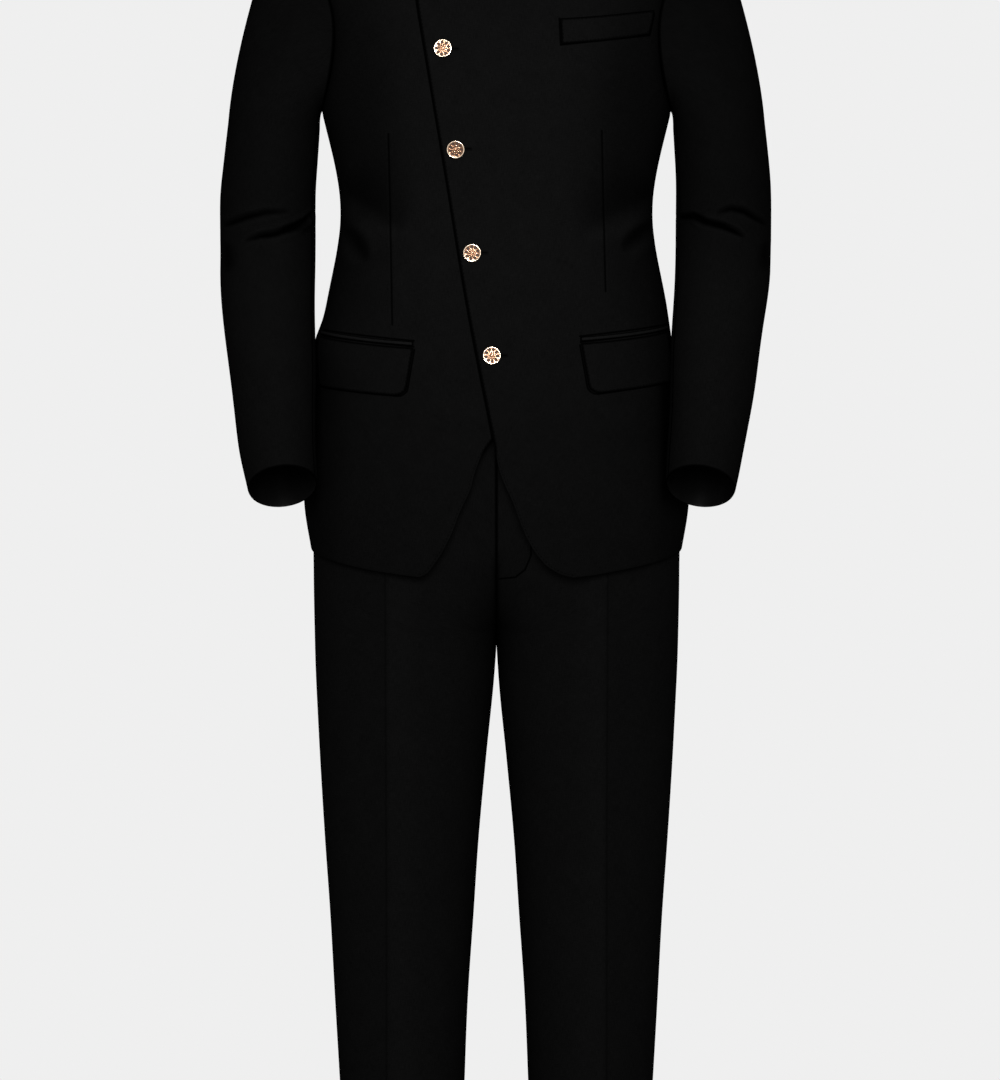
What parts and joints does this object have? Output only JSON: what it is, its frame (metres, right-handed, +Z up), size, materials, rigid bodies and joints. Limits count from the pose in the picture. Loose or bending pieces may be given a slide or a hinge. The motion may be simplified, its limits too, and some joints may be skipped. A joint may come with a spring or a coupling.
{
  "type": "mandarin collar suit",
  "caption": "Black two-piece suit: a jacket with a stand collar, a slanted button closing, a breast welt and two flap pockets, and straight creased trousers, filled out and hollow",
  "frame": {"origin": "midway between the two shoulder points, where the wearer's shoulders hold the jacket", "axes": "+Z is up and along the suit's height, the front faces -Y and +Y is its shallowest way, +X is the wearer's left"},
  "size_m": [0.5923, 0.305, 1.6783],
  "materials": {
    "wool": "matt worsted with a faint sheen",
    "button_metal": "polished rose gold"
  },
  "bodies": {
    "root": {"jacket_front_left": "wool", "jacket_front_right": "wool", "jacket_back_left": "wool", "jacket_back_right": "wool", "sleeve_top_left": "wool", "sleeve_under_left": "wool", "sleeve_top_right": "wool", "sleeve_under_right": "wool", "collar": "wool", "breast_welt": "wool", "flap_left": "wool", "flap_right": "wool", "jet_left": "wool", "jet_right": "wool", "button_1": "button_metal", "button_2": "button_metal", "button_3": "button_metal", "button_4": "button_metal", "button_5": "button_metal", "trouser_front_left": "wool", "trouser_front_right": "wool", "trouser_back_left": "wool", "trouser_back_right": "wool", "waistband": "wool"}
  },
  "joints": []
}
